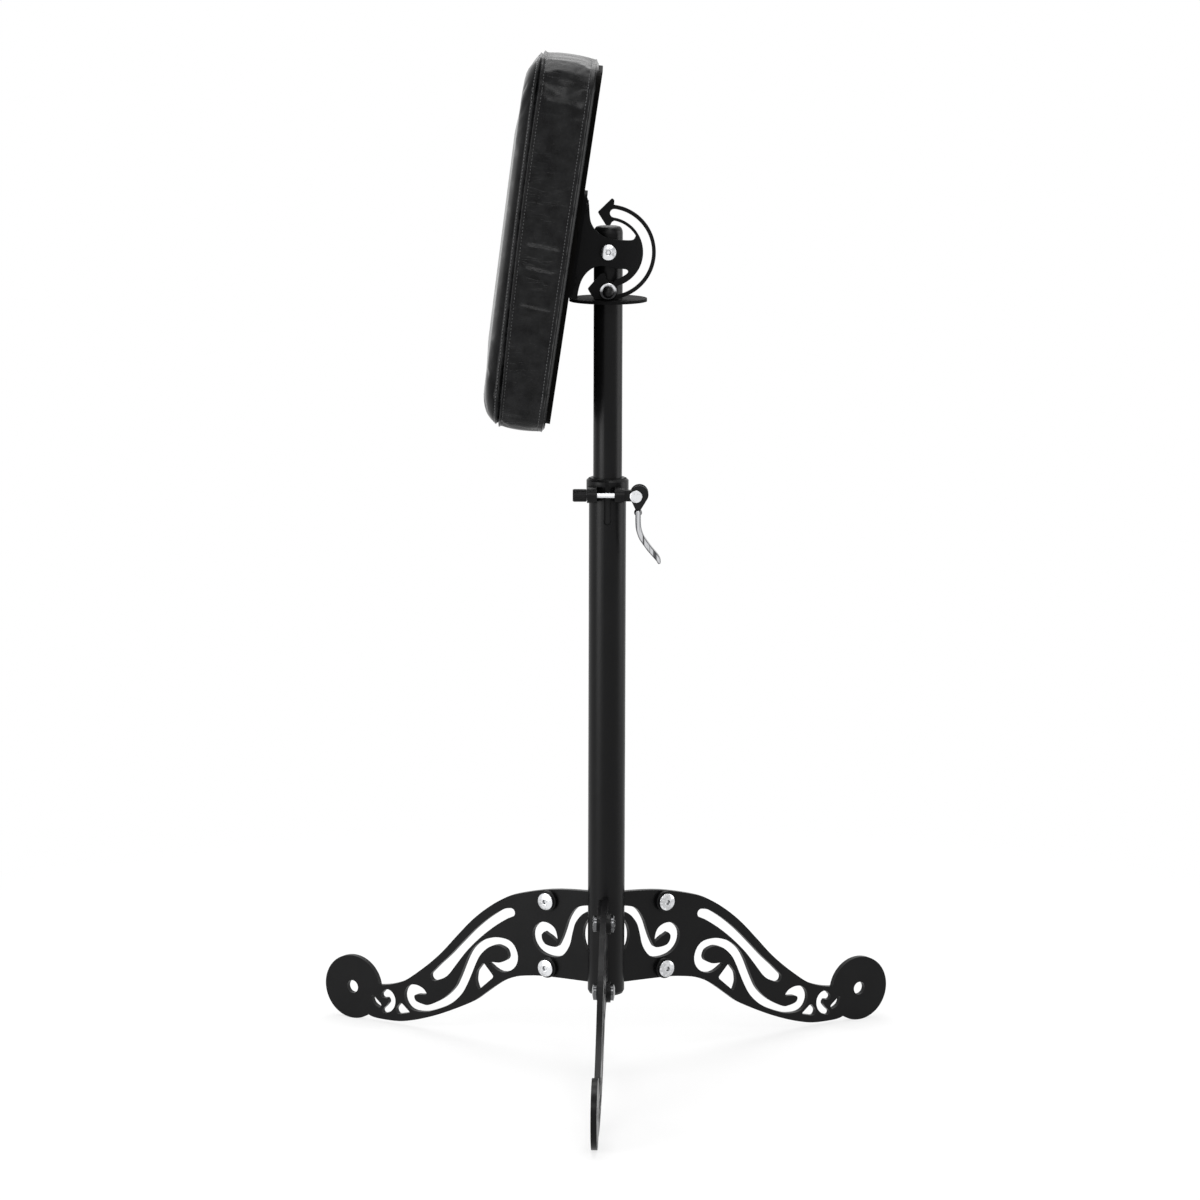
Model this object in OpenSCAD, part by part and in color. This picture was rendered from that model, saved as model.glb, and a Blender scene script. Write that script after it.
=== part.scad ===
// Tripod arm rest: three scroll-cut legs on a column, a telescoping mast with a quick-release clamp,
// a tilting head with a slotted arrow plate, and an upholstered pad
// Millimetres, +Z up, origin on the column axis at floor level, the front leg points along -Y

/* [Column] */
// Outside diameter of the outer tube
column_d = 38.1; // [34:0.1:44]
// Wall of the outer tube
column_wall = 2; // [1.5:0.1:2.2]
// Length of the outer tube
column_length = 533.5; // [440:0.5:620]
// Height of the outer tube's lower end above the floor
column_foot = 75; // [70:0.5:80]
// Width of the clamping slit
slit_w = 6.6; // [4:0.1:8]
// Depth of the slit below the top of the tube, to its round end
slit_depth = 38; // [32:1:60]

/* [Mast] */
// Outside diameter of the inner tube
mast_d = 29.5; // [27:0.1:30.2]
// Wall of the inner tube
mast_wall = 2; // [1.5:0.1:2.5]
// Length of the inner tube
mast_length = 470; // [440:1:500]
// Height of the inner tube's top above the clamp end of the column
mast_out = 255.6; // [250:0.1:262]
// Diameter of the round stop disc
disc_d = 79.2; // [72:0.1:79.2]
// Thickness of the stop disc
disc_t = 3; // [2:0.1:4]
// Running clearance of sliding and turning fits, each side
run_gap = 0.06; // [0.04:0.01:0.1]

/* [Legs] */
// Distance of a foot's centre from the column axis
foot_reach = 314.7; // [285:0.1:345]
// Diameter of the round foot disc
foot_d = 69.4; // [64:0.1:76]
// Diameter of the hole in the foot disc
foot_hole_d = 14; // [10:0.1:18]
// Thickness of a leg plate
leg_t = 6; // [4:0.1:8]
// Height of a leg at the column
leg_h = 176.9; // [164:0.1:188]
// Turn of the front leg from the true line between the rear legs, degrees
front_turn = 1.9; // [0:0.1:3]
// Distance of the leg bolts from the column axis
bolt_reach = 68; // [64:1:72]
// Diameter of a leg bolt's shank
bolt_d = 8; // [6:0.1:9]

/* [Clamp] */
// Height of the clamp collar
collar_h = 22; // [20:1:26]
// Radial thickness of the collar
collar_wall = 2.5; // [2:0.1:4]
// Diameter of the skewer
skewer_d = 6; // [5:0.1:7]
// Space between the collar's two ears
ear_gap = 18; // [12:1:20]
// Width of the lever blade
lever_w = 11; // [8:0.5:14]

/* [Head] */
// Height of the tilt pivot above the top face of the stop disc
pivot_h = 48.4; // [48.3:0.1:52]
// Outer radius of the arrow plate's arc
rim_r = 48; // [46.5:0.1:48.1]
// Radius of the middle of the arc slot
slot_r = 39.7; // [39:0.1:40]
// Width of the arc slot
slot_w = 9; // [8.6:0.1:10]
// Thickness of the arrow plate and of the rear cheek
tilt_t = 5; // [3:0.1:6]
// Thickness of the plate that carries the pad
carrier_t = 3.5; // [3:0.1:4]
// Width of the plate that carries the pad
carrier_w = 70; // [66:1:90]
// Diameter of the pivot bolt's shank
pivot_d = 8; // [6:0.1:9]

/* [Pad] */
// Length of the pad
pad_length = 369.5; // [330:0.5:420]
// Width of the pad
pad_width = 180; // [150:1:220]
// Height of the pad's upright side band
pad_band = 54; // [40:1:70]
// Rise of the crown above the side band
pad_crown = 18; // [10:1:26]
// Distance from the tilt pivot to the back of the pad board
pad_offset = 32.8; // [32.8:0.1:36]
// Thickness of the pad board
board_t = 12; // [9:0.5:15]
// Lean of the pad from upright, degrees
pad_lean = 8.4; // [8.4:0.1:9.5]

/* [Hidden] */
$fn = 96;
eps = 0.01;
cut = 5;
seat_gap = 0.2;

// Heights and radii that several pieces share
column_r = column_d / 2;
column_top = column_foot + column_length;
bore_r = column_r - column_wall;
mast_r = mast_d / 2;
mast_top = column_top + mast_out;
mast_end = mast_top - mast_length;
pivot_drop = 18;
pivot_z = mast_top - pivot_drop;
disc_top = pivot_z - pivot_h;
lock_z = pivot_z - slot_r;
stud_d = 8;
collar_r = column_r + run_gap + collar_wall;
collar_rise = 4.5;
collar_top = column_top + collar_rise;
collar_bottom = collar_top - collar_h;

// Colours
powder_black = [0.09, 0.09, 0.1];
plastic_black = [0.05, 0.05, 0.055];
bright_chrome = [0.82, 0.83, 0.85];
pad_black = [0.12, 0.12, 0.13];
ply_brown = [0.16, 0.13, 0.11];

// A curve through points of any dimension, and shapes drawn along it
function curve_at(a, b, c, d, t) =
    0.5 * (2 * b + (c - a) * t + (2 * a - 5 * b + 4 * c - d) * t * t
    + (3 * b - a - 3 * c + d) * t * t * t);
function curve(p, n) = let (m = len(p) - 1) concat(
    [for (i = [0:m - 1], j = [0:n - 1])
        curve_at(p[max(i - 1, 0)], p[i], p[i + 1], p[min(i + 2, m)], j / n)],
    [p[m]]);
function along(p, i) = let (m = len(p) - 1, v = p[min(i + 1, m)] - p[max(i - 1, 0)], w = [v[0], v[1]])
    w / norm(w);
function side(p, s) = [for (i = [0:len(p) - 1]) let (d = along(p, i))
    [p[i][0] - s * d[1] * p[i][2] / 2, p[i][1] + s * d[0] * p[i][2] / 2]];
function turned_back(p) = [for (i = [len(p) - 1:-1:0]) p[i]];
function round_end(p, i, s) = let (d = along(p, i) * s, a = atan2(d[1], d[0]))
    [for (k = [1:end_steps - 1]) let (b = a + 90 - 180 * k / end_steps)
        [p[i][0] + p[i][2] * cos(b) / 2, p[i][1] + p[i][2] * sin(b) / 2]];
function ribbon(p, n) = let (q = curve(p, n)) concat(
    side(q, 1), round_end(q, len(q) - 1, 1), turned_back(side(q, -1)), round_end(q, 0, -1));
function toward(a, b, r) = a + (b - a) * r / norm(b - a);
function soft_corners(p, r) = [for (i = [0:len(p) - 1], k = [0:corner_steps])
    let (b = p[i], a = toward(b, p[(i + len(p) - 1) % len(p)], r),
        c = toward(b, p[(i + 1) % len(p)], r), t = k / corner_steps)
    (1 - t) * (1 - t) * a + 2 * t * (1 - t) * b + t * t * c];
function scaled(p, s) = [for (v = p) [for (i = [0:len(v) - 1]) v[i] * s[min(i, len(s) - 1)]]];
end_steps = 8;
corner_steps = 3;
curve_steps = 4;

// A plate drawn in X and Z, centred on y
module upright(t, y) {
    translate([0, y + t / 2, 0])
        rotate([90, 0, 0])
            linear_extrude(t)
                children();
}
// A round bar along Y between two places
module bar_y(d, y0, y1) {
    translate([0, y1, 0])
        rotate([90, 0, 0])
            cylinder(d = d, h = y1 - y0);
}
// A round bar along X between two places
module bar_x(d, x0, x1) {
    translate([x0, 0, 0])
        rotate([0, 90, 0])
            cylinder(d = d, h = x1 - x0);
}
// The place and turn of each leg: front, left, right
leg_turns = [-90 - front_turn, 150, 30];
// The hidden face of each leg carries the lugs: -1 and 1 are the two faces
lug_sides = [-1, -1, 1];

// Outer tube
slit_eye_share = 1.15;
module outer_tube() {
    color(powder_black)
    difference() {
        translate([0, 0, column_foot])
            cylinder(r = column_r, h = column_length);
        translate([0, 0, column_foot - cut])
            cylinder(r = bore_r, h = column_length + 2 * cut);
        translate([-slit_w / 2, -column_r - cut, column_top - slit_depth])
            cube([slit_w, column_r + cut, slit_depth + cut]);
        translate([0, 0, column_top - slit_depth])
            bar_y(slit_w * slit_eye_share, -column_r - cut, 0);
    }
}

// Plug in the lower end of the outer tube
plug_lip = 3;
plug_depth = 16;
module tube_plug() {
    color(plastic_black) {
        translate([0, 0, column_foot - plug_lip])
            cylinder(r1 = column_r - plug_lip / 2, r2 = column_r, h = plug_lip);
        translate([0, 0, column_foot])
            cylinder(r = bore_r, h = plug_depth);
    }
}

// Legs: points are shares of the foot's reach and of the leg's height
leg_top_shares = [[0, 1], [0.08, 1], [0.21, 0.979], [0.34, 0.924], [0.4, 0.877], [0.461, 0.806],
    [0.52, 0.718], [0.582, 0.603], [0.634, 0.503], [0.683, 0.423], [0.735, 0.35], [0.785, 0.288],
    [0.835, 0.252], [0.886, 0.233], [0.93, 0.23]];
leg_foot_shares = [[0.95, 0.05], [0.92, 0.028], [0.877, 0.022], [0.81, 0.026], [0.751, 0.048],
    [0.69, 0.082], [0.628, 0.125], [0.556, 0.184], [0.507, 0.23], [0.467, 0.283], [0.427, 0.337],
    [0.387, 0.384], [0.339, 0.42], [0.287, 0.438], [0.24, 0.447], [0.159, 0.452], [0, 0.457]];
long_cut_shares = [[0.362, 0.806, 0.03], [0.387, 0.79, 0.034], [0.438, 0.73, 0.034],
    [0.493, 0.649, 0.033], [0.547, 0.553, 0.032], [0.592, 0.462, 0.038], [0.632, 0.386, 0.046],
    [0.668, 0.34, 0.032]];
scroll_cut_shares = [[0.446, 0.478, 0.008], [0.402, 0.461, 0.033], [0.366, 0.489, 0.038],
    [0.355, 0.54, 0.039], [0.371, 0.598, 0.037], [0.41, 0.617, 0.028], [0.443, 0.606, 0.027],
    [0.472, 0.578, 0.031], [0.5, 0.53, 0.035], [0.519, 0.471, 0.037], [0.535, 0.405, 0.037],
    [0.552, 0.338, 0.036], [0.571, 0.278, 0.034], [0.603, 0.219, 0.031], [0.643, 0.173, 0.025],
    [0.688, 0.138, 0.022], [0.715, 0.132, 0.028], [0.745, 0.138, 0.036], [0.762, 0.158, 0.04],
    [0.769, 0.195, 0.041], [0.76, 0.229, 0.039], [0.74, 0.24, 0.034], [0.717, 0.235, 0.024],
    [0.705, 0.226, 0.012]];
root_cut_shares = [[0.045, 0.905, 0.014], [0.075, 0.893, 0.022], [0.103, 0.866, 0.03],
    [0.126, 0.809, 0.029], [0.139, 0.74, 0.031], [0.151, 0.673, 0.036], [0.172, 0.616, 0.034],
    [0.203, 0.604, 0.035], [0.238, 0.619, 0.034], [0.258, 0.661, 0.036], [0.259, 0.712, 0.036],
    [0.236, 0.748, 0.034], [0.207, 0.73, 0.036], [0.19, 0.692, 0.018], [0.185, 0.672, 0.006]];
comma_cut_shares = [[0.874, 0.172, 0.02], [0.857, 0.184, 0.034], [0.842, 0.162, 0.032],
    [0.841, 0.125, 0.028], [0.853, 0.096, 0.026], [0.871, 0.075, 0.018]];
foot_cut_shares = [[0.917, 0.153, 0.012], [0.907, 0.127, 0.021], [0.892, 0.108, 0.018]];
web_cut_shares = [[0.472, 0.475], [0.43, 0.395], [0.493, 0.297], [0.504, 0.353], [0.5, 0.41]];
wedge_cut_shares = [[0.803, 0.147], [0.764, 0.09], [0.817, 0.066], [0.826, 0.1]];
window_r_share = 0.085;
window_z_share = 0.734;
soft_share = 0.009;
leg_scale = [foot_reach, leg_h];
foot_r = foot_d / 2;
// The cut-outs are drawn on a leg one unit long at this height, then stretched both ways
draw_share = 0.56;
draw_scale = [1, draw_share, 1];
fill_scale = [foot_reach, leg_h / draw_share];
bolt_height_shares = [0.508, 0.913];

module leg_cuts() {
    translate([0, window_z_share * leg_h])
        circle(r = window_r_share * foot_reach);
    for (p = [long_cut_shares, scroll_cut_shares, root_cut_shares, comma_cut_shares, foot_cut_shares])
        polygon(scaled(ribbon(scaled(p, draw_scale), curve_steps), fill_scale));
    for (p = [web_cut_shares, wedge_cut_shares])
        polygon(scaled(soft_corners(scaled(p, draw_scale), soft_share), fill_scale));
}
module leg(i) {
    color(powder_black)
    rotate([0, 0, leg_turns[i]])
        difference() {
            union() {
                upright(leg_t, 0)
                    polygon(concat(curve(scaled(leg_top_shares, leg_scale), curve_steps),
                        curve(scaled(leg_foot_shares, leg_scale), curve_steps)));
                translate([foot_reach, 0, foot_r])
                    bar_y(foot_d, -leg_t / 2, leg_t / 2);
            }
            upright(leg_t + 2 * cut, 0)
                leg_cuts();
            translate([foot_reach, 0, foot_r])
                bar_y(foot_hole_d, -cut, cut);
            for (s = bolt_height_shares)
                translate([bolt_reach, 0, s * leg_h])
                    bar_y(bolt_d + 2 * run_gap, -cut, cut);
            translate([0, 0, -cut])
                cylinder(r = column_r, h = column_top);
        }
}
module leg_front() { leg(0); }
module leg_left() { leg(1); }
module leg_right() { leg(2); }

// Lugs on the column that the legs are bolted to, on each leg's hidden face
lug_t = 4;
lug_eye_r = 9;
lug_root_h = 10;
module lugs(s) {
    z = s * leg_h;
    color(powder_black)
    for (i = [0:2])
        rotate([0, 0, leg_turns[i]])
            difference() {
                upright(lug_t, lug_sides[i] * (leg_t + lug_t) / 2)
                    difference() {
                        union() {
                            translate([bolt_reach, z])
                                circle(r = lug_eye_r);
                            polygon([[column_r - lug_t, lug_line(s) - lug_root_h / 2],
                                [column_r - lug_t, lug_line(s) + lug_root_h / 2],
                                [bolt_reach, z + lug_eye_r], [bolt_reach, z - lug_eye_r]]);
                        }
                        translate([bolt_reach, z])
                            circle(d = bolt_d + 2 * run_gap);
                    }
                cylinder(r = column_r, h = column_top);
            }
}
// The lugs' roots leave the scroll beside the column open
lug_lift_share = 0.045;
function lug_line(s) = s > window_z_share ? (s + lug_lift_share) * leg_h : s * leg_h;
module leg_lugs_upper() { lugs(bolt_height_shares[1]); }
module leg_lugs_lower() { lugs(bolt_height_shares[0]); }

// Leg fasteners: a button head on a thick collar, and a domed nut on the other face
bolt_head_d = 17.6;
bolt_head_h = 4.6;
leg_socket = 5;
leg_collar_d = 21.5;
leg_collar_t = 4;
leg_nut_d = 17;
leg_nut_h = 5;
module at_leg_bolts() {
    for (i = [0:2], s = bolt_height_shares)
        rotate([0, 0, leg_turns[i]])
            translate([bolt_reach, 0, s * leg_h])
                rotate([0, 0, lug_sides[i] > 0 ? 0 : 180])
                    children();
}
// A domed round head that stands on y towards -Y
module dome_head(d, h, y) {
    rise = h * dome_share;
    ball_r = (d * d / 4 + rise * rise) / (2 * rise);
    bar_y(d, y - h + rise, y);
    intersection() {
        translate([0, y - h + ball_r, 0])
            sphere(r = ball_r);
        translate([-d, y - h - d, -d])
            cube([2 * d, d + rise, 2 * d]);
    }
}
dome_share = 0.3;
socket_depth = 2.6;
// A hexagon socket in the top of a head that stands towards -Y
module hex_socket(across, y) {
    translate([0, y + socket_depth, 0])
        rotate([90, 0, 0])
            cylinder(d = across / cos(30), h = socket_depth + cut, $fn = 6);
}
leg_bolt_tip = leg_t / 2 + lug_t + leg_nut_h / 2;
module leg_bolts() {
    color(bright_chrome)
    at_leg_bolts()
        difference() {
            union() {
                dome_head(bolt_head_d, bolt_head_h, -leg_t / 2 - leg_collar_t);
                bar_y(bolt_d, -leg_t / 2 - leg_collar_t - eps, leg_bolt_tip);
            }
            hex_socket(leg_socket, -leg_t / 2 - leg_collar_t - bolt_head_h);
        }
}
module leg_collars() {
    color(plastic_black)
    at_leg_bolts()
        difference() {
            bar_y(leg_collar_d, -leg_t / 2 - leg_collar_t, -leg_t / 2);
            bar_y(bolt_d + 2 * run_gap, -leg_t / 2 - leg_collar_t - cut, cut);
        }
}
module leg_nuts() {
    color(bright_chrome)
    at_leg_bolts()
        difference() {
            mirror([0, 1, 0])
                dome_head(leg_nut_d, leg_nut_h, -leg_t / 2 - lug_t);
            bar_y(bolt_d + 2 * run_gap, 0, leg_bolt_tip + run_gap);
        }
}

// Clamp: a split collar with two ears, a skewer through them and a cam lever
ear_d = 15.5;
ear_reach = 8;
left_ear_w = 10.2;
right_ear_w = 7.4;
gap_shift = -1.7;
ear_z = collar_bottom + ear_d / 2;
skewer_y = -column_r - ear_reach;
left_gap = gap_shift - ear_gap / 2;
right_gap = gap_shift + ear_gap / 2;
lip_h = 7;
lip_split = 3;
lip_split_x = -0.5;
chamfer = 2;
module clamp_collar() {
    color(powder_black)
    difference() {
        union() {
            translate([0, 0, collar_bottom])
                cylinder(r = collar_r, h = collar_h - chamfer);
            translate([0, 0, collar_top - chamfer])
                cylinder(r1 = collar_r, r2 = collar_r - chamfer, h = chamfer);
            for (e = [[left_gap - left_ear_w, left_gap], [right_gap, right_gap + right_ear_w]])
                translate([0, skewer_y, ear_z]) {
                    bar_x(ear_d, e[0], e[1]);
                    translate([e[0], 0, -ear_d / 2])
                        cube([e[1] - e[0], -skewer_y / 2, ear_d]);
                }
        }
        translate([0, 0, collar_bottom - cut])
            cylinder(r = column_r + run_gap, h = collar_h + 2 * cut);
        translate([left_gap, -column_r * 2, collar_bottom - cut])
            cube([ear_gap, column_r * 2 - column_r / 2, collar_h - lip_h + cut]);
        translate([lip_split_x - lip_split / 2, -column_r * 2, collar_bottom])
            cube([lip_split, column_r * 2, collar_h + cut]);
        translate([0, skewer_y, ear_z])
            bar_x(skewer_d + 2 * run_gap, -column_d, column_d);
    }
}

washer_d = 14.6;
washer_t = 2.6;
saddle_t = 7.6;
pin_d = 8;
saddle_w = 8;
saddle_h = 11;
pin_x = right_gap + right_ear_w + washer_t + saddle_t + pin_d / 2 + run_gap;
pin_cap_d = 12.4;
pin_cap_t = 1.2;
cheek_t = 3;
nut_d = 13;
nut_l = 14.5;
nut_grip = 11;
nut_ribs = 20;
nut_rib_t = 0.9;
nut_end = left_gap - left_ear_w - nut_l;
fork_half = saddle_w / 2 + seat_gap;
module at_skewer() {
    translate([0, skewer_y, ear_z])
        children();
}
module clamp_skewer() {
    color(bright_chrome)
    at_skewer()
        bar_x(skewer_d, nut_end + nut_l - nut_grip, pin_x - pin_d / 4);
}
module clamp_washer() {
    color(bright_chrome)
    at_skewer()
        difference() {
            bar_x(washer_d, right_gap + right_ear_w, right_gap + right_ear_w + washer_t);
            bar_x(skewer_d + 2 * run_gap, 0, pin_x);
        }
}
module clamp_saddle() {
    x0 = right_gap + right_ear_w + washer_t;
    color(plastic_black)
    at_skewer()
        difference() {
            translate([x0, -saddle_w / 2, -saddle_h / 2])
                cube([pin_x - x0, saddle_w, saddle_h]);
            bar_x(skewer_d + 2 * run_gap, 0, pin_x);
            translate([pin_x, 0, 0])
                bar_y(pin_d + 2 * run_gap, -saddle_w, saddle_w);
        }
}
module clamp_pin() {
    reach = fork_half + cheek_t + seat_gap;
    color(bright_chrome)
    at_skewer()
        translate([pin_x, 0, 0])
            difference() {
                union() {
                    bar_y(pin_d, -reach, reach);
                    bar_y(pin_cap_d, -reach - pin_cap_t, -reach);
                    bar_y(pin_cap_d, reach, reach + pin_cap_t);
                }
                bar_x(skewer_d, -pin_d, -pin_d / 4);
            }
}
module clamp_nut() {
    color(plastic_black)
    at_skewer()
        difference() {
            union() {
                bar_x(nut_d - nut_rib_t, nut_end, nut_end + nut_l - seat_gap);
                for (k = [0:nut_ribs - 1])
                    rotate([k * 360 / nut_ribs, 0, 0])
                        translate([nut_end + nut_rib_t, -nut_rib_t / 2, 0])
                            cube([nut_l - 2 * nut_rib_t, nut_rib_t, nut_d / 2]);
            }
            bar_x(skewer_d + 2 * run_gap, nut_end + nut_l - nut_grip - run_gap, 0);
        }
}

// Cam fork: centre of its round head and its neck, from the pin, as shares of the head's radius
cam_r = 9.2;
cam_head_share = [0.38, 0.2];
cam_neck_share = [0.24, -1.46];
cam_flank_share = [0.9, 0.436];
cam_neck_w = 5.6;
lever_ball_d = 8.2;
lever_t = 6;
cam_neck = [pin_x + cam_neck_share[0] * cam_r, cam_neck_share[1] * cam_r];
module cam_shape() {
    head = [cam_head_share[0] * cam_r, cam_head_share[1] * cam_r];
    neck = [cam_neck_share[0] * cam_r, cam_neck_share[1] * cam_r];
    union() {
        translate(head)
            circle(r = cam_r);
        circle(d = pin_cap_d);
        polygon([[-pin_cap_d / 2 * cam_flank_share[0], -pin_cap_d / 2 * cam_flank_share[1]],
            [neck[0] - cam_neck_w / 2, neck[1]], [neck[0] + cam_neck_w / 2, neck[1]],
            [head[0] + cam_r * cam_flank_share[0], head[1] - cam_r * cam_flank_share[1]], [0, 0]]);
    }
}
module clamp_cam() {
    color(plastic_black)
    at_skewer()
        translate([pin_x, 0, 0])
            difference() {
                upright(2 * (fork_half + cheek_t), 0)
                    cam_shape();
                upright(2 * fork_half, 0)
                    difference() {
                        square(4 * cam_r, center = true);
                        translate([-2 * cam_r, -4 * cam_r + cam_neck_share[1] * cam_r + cam_neck_w / 2])
                            square([4 * cam_r, 4 * cam_r]);
                    }
                bar_y(pin_d + 2 * run_gap, -cam_r * 2, cam_r * 2);
            }
}
// Lever blade: points along its middle with its thickness, as shares of its drop
lever_drop = 54;
lever_shares = [[0, 0, 0.1], [0, -0.15, 0.104], [0.012, -0.3, 0.104], [0.06, -0.45, 0.102],
    [0.122, -0.55, 0.1], [0.216, -0.68, 0.1], [0.31, -0.79, 0.098], [0.38, -0.88, 0.088], [0.4, -0.94, 0.06]];
module clamp_lever() {
    color(bright_chrome)
    at_skewer()
        translate([cam_neck[0], 0, cam_neck[1] - lever_ball_d / 2 + seat_gap]) {
            sphere(d = lever_ball_d);
            upright(lever_w, 0)
                polygon(ribbon(scaled(lever_shares, [lever_drop, lever_drop, lever_drop]), curve_steps));
        }
}

// Mast: a nylon bushing that turns in the column, and the inner tube that slides in it
bushing_l = 70;
bushing_flange_d = 36;
bushing_flange_t = 5.2;
module tube_bushing() {
    color(plastic_black)
    difference() {
        union() {
            translate([0, 0, column_top - bushing_l])
                cylinder(r = bore_r - run_gap, h = bushing_l);
            translate([0, 0, column_top])
                cylinder(d = bushing_flange_d, h = bushing_flange_t);
        }
        translate([0, 0, column_top - bushing_l - cut])
            cylinder(r = mast_r + run_gap, h = bushing_l + bushing_flange_t + 2 * cut);
    }
}
module inner_tube() {
    color(powder_black)
    difference() {
        translate([0, 0, mast_end])
            cylinder(r = mast_r, h = mast_length);
        translate([0, 0, mast_end - cut])
            cylinder(r = mast_r - mast_wall, h = mast_length + 2 * cut);
        translate([0, 0, pivot_z])
            bar_y(pivot_d + 2 * run_gap, -mast_d, mast_d);
        translate([0, 0, lock_z])
            bar_y(stud_d, -mast_d, 0);
    }
}
ring_h = 22;
ring_lip = 2;
module guide_ring() {
    color(plastic_black)
    translate([0, 0, mast_end - ring_lip])
        difference() {
            cylinder(r = bore_r - run_gap, h = ring_h + ring_lip);
            translate([0, 0, ring_lip])
                cylinder(r = mast_r, h = ring_h + cut);
            translate([0, 0, -cut])
                cylinder(r = mast_r - mast_wall, h = ring_h + cut);
        }
}
cap_h = 7;
cap_depth = 8;
cap_shares = [[0, 0], [0.02, 0.35], [0.08, 0.68], [0.18, 0.9], [0.36, 1]];
module mast_cap() {
    color(plastic_black)
    translate([0, 0, mast_top])
        rotate_extrude()
            polygon(concat([[0, -cap_depth], [mast_r - mast_wall, -cap_depth], [mast_r - mast_wall, 0]],
                [for (p = cap_shares) [mast_r * (1 - p[0]), cap_h * p[1]]], [[0, cap_h]]));
}

// Head: stop disc, pivot and tilt lock on the mast
stud_thread_d = 5;
spacer_d = 20;
spacer_t = 1.5;
plate_y = mast_r + spacer_t;
module stop_disc() {
    color(powder_black)
    translate([0, 0, disc_top - disc_t])
        difference() {
            cylinder(d = disc_d, h = disc_t);
            translate([0, 0, -cut])
                cylinder(r = mast_r, h = disc_t + 2 * cut);
        }
}
sleeve_d = 12;
module pivot_sleeve() {
    color(bright_chrome)
    translate([0, 0, pivot_z])
        intersection() {
            difference() {
                bar_y(sleeve_d, -mast_r, mast_r);
                bar_y(pivot_d + 2 * run_gap, -mast_d, mast_d);
            }
            translate([0, 0, -mast_r])
                cylinder(r = mast_r - mast_wall, h = mast_d);
        }
}
module saddle_ring(d, hole, z, y0, y1) {
    difference() {
        translate([0, 0, z])
            bar_y(d, y0, y1);
        translate([0, 0, z])
            bar_y(hole, y0 - cut, y1 + cut);
        translate([0, 0, z - d])
            cylinder(r = mast_r, h = 2 * d);
    }
}
module pivot_spacers() {
    color(plastic_black) {
        saddle_ring(spacer_d, pivot_d + 2 * run_gap, pivot_z, -plate_y, 0);
        saddle_ring(spacer_d, pivot_d + 2 * run_gap, pivot_z, 0, plate_y);
    }
}
lock_spacer_d = 13;
module lock_spacer() {
    color(plastic_black)
    saddle_ring(lock_spacer_d, stud_d, lock_z, -plate_y, 0);
}
flange_most_d = 17;
flange_d = min(flange_most_d, 2 * (lock_z - disc_top - seat_gap));
flange_t = 3;
stud_reach = 16;
front_face = plate_y + seat_gap + tilt_t;
module lock_stud() {
    color(bright_chrome)
    translate([0, 0, lock_z]) {
        bar_y(stud_d, -front_face, -mast_r + 2 * mast_wall);
        bar_y(stud_thread_d, -front_face - stud_reach, -front_face);
    }
}
module lock_flange() {
    color(bright_chrome)
    translate([0, 0, lock_z])
        difference() {
            intersection() {
                bar_y(flange_d, -front_face - flange_t - seat_gap, -front_face - seat_gap);
                translate([0, flange_d - front_face - flange_t * 2, 0])
                    sphere(d = flange_d * 2);
            }
            bar_y(stud_thread_d + 2 * run_gap, -front_face * 2, 0);
        }
}
knob_d = 11.5;
knob_neck_d = 8;
knob_neck_l = 8.6;
module lock_knob() {
    y0 = front_face + flange_t + 2 * seat_gap;
    y1 = y0 + knob_neck_l;
    color(plastic_black)
    translate([0, 0, lock_z])
        difference() {
            union() {
                bar_y(knob_neck_d, -y1, -y0);
                translate([0, -y1, 0])
                    sphere(d = knob_d);
            }
            bar_y(stud_thread_d + 2 * run_gap, -front_face - stud_reach - run_gap, 0);
        }
}

// Tilting head: arrow plate in front, cheek behind, carrier plate across them
// Points are shares of the arc's outer radius, measured from the pivot
arrow_top_shares = [[-0.223, 0.842], [0.076, 1.133], [0.126, 1.095], [0.118, 0.99], [0.2, 0.9],
    [0.2, 0.7], [0.075, 0.64], [0.04, 0.565], [-0.05, 0.565]];
arrow_low_shares = [[-0.432, -0.773], [-0.158, -0.453], [-0.074, -0.44], [-0.03, -0.6], [0.1, -0.62],
    [0.1, -0.995], [-0.284, -0.995], [-0.368, -0.884]];
web_top_shares = [[-0.44, 1.143], [-0.408, 1.01], [-0.398, 0.878], [-0.383, 0.701], [-0.349, 0.585],
    [-0.276, 0.469], [-0.149, 0.362], [-0.006, 0.293], [0.137, 0.265], [0.282, 0.251], [0.495, 0.251],
    [0.56, 0.305], [0.585, 0.4]];
web_low_shares = [[0.09, -0.66], [0.14, -0.605], [0.21, -0.57], [0.29, -0.527], [0.38, -0.468],
    [0.418, -0.42], [0.4, -0.375], [0.337, -0.355], [0.194, -0.345],
    [0.032, -0.309], [-0.076, -0.293], [-0.2, -0.293], [-0.307, -0.328], [-0.415, -0.4],
    [-0.522, -0.524], [-0.594, -0.684], [-0.636, -0.861], [-0.653, -0.996]];
cheek_shares = [[-0.9, 0.5], [-0.5, 0.36], [-0.2, 0.25], [0, 0.2], [0, -0.2], [-0.2, -0.26],
    [-0.5, -0.4], [-0.9, -0.62]];
arc_end_turn = 81.3;
arc_inner_share = 0.675;
cheek_eye_share = 0.265;
head_scale = [rim_r, rim_r];
carrier_up = 55;
carrier_down = 51;
carrier_corner = 8;
plate_mid = plate_y + seat_gap + tilt_t / 2;

module at_pivot() {
    translate([0, 0, pivot_z])
        children();
}
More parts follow.
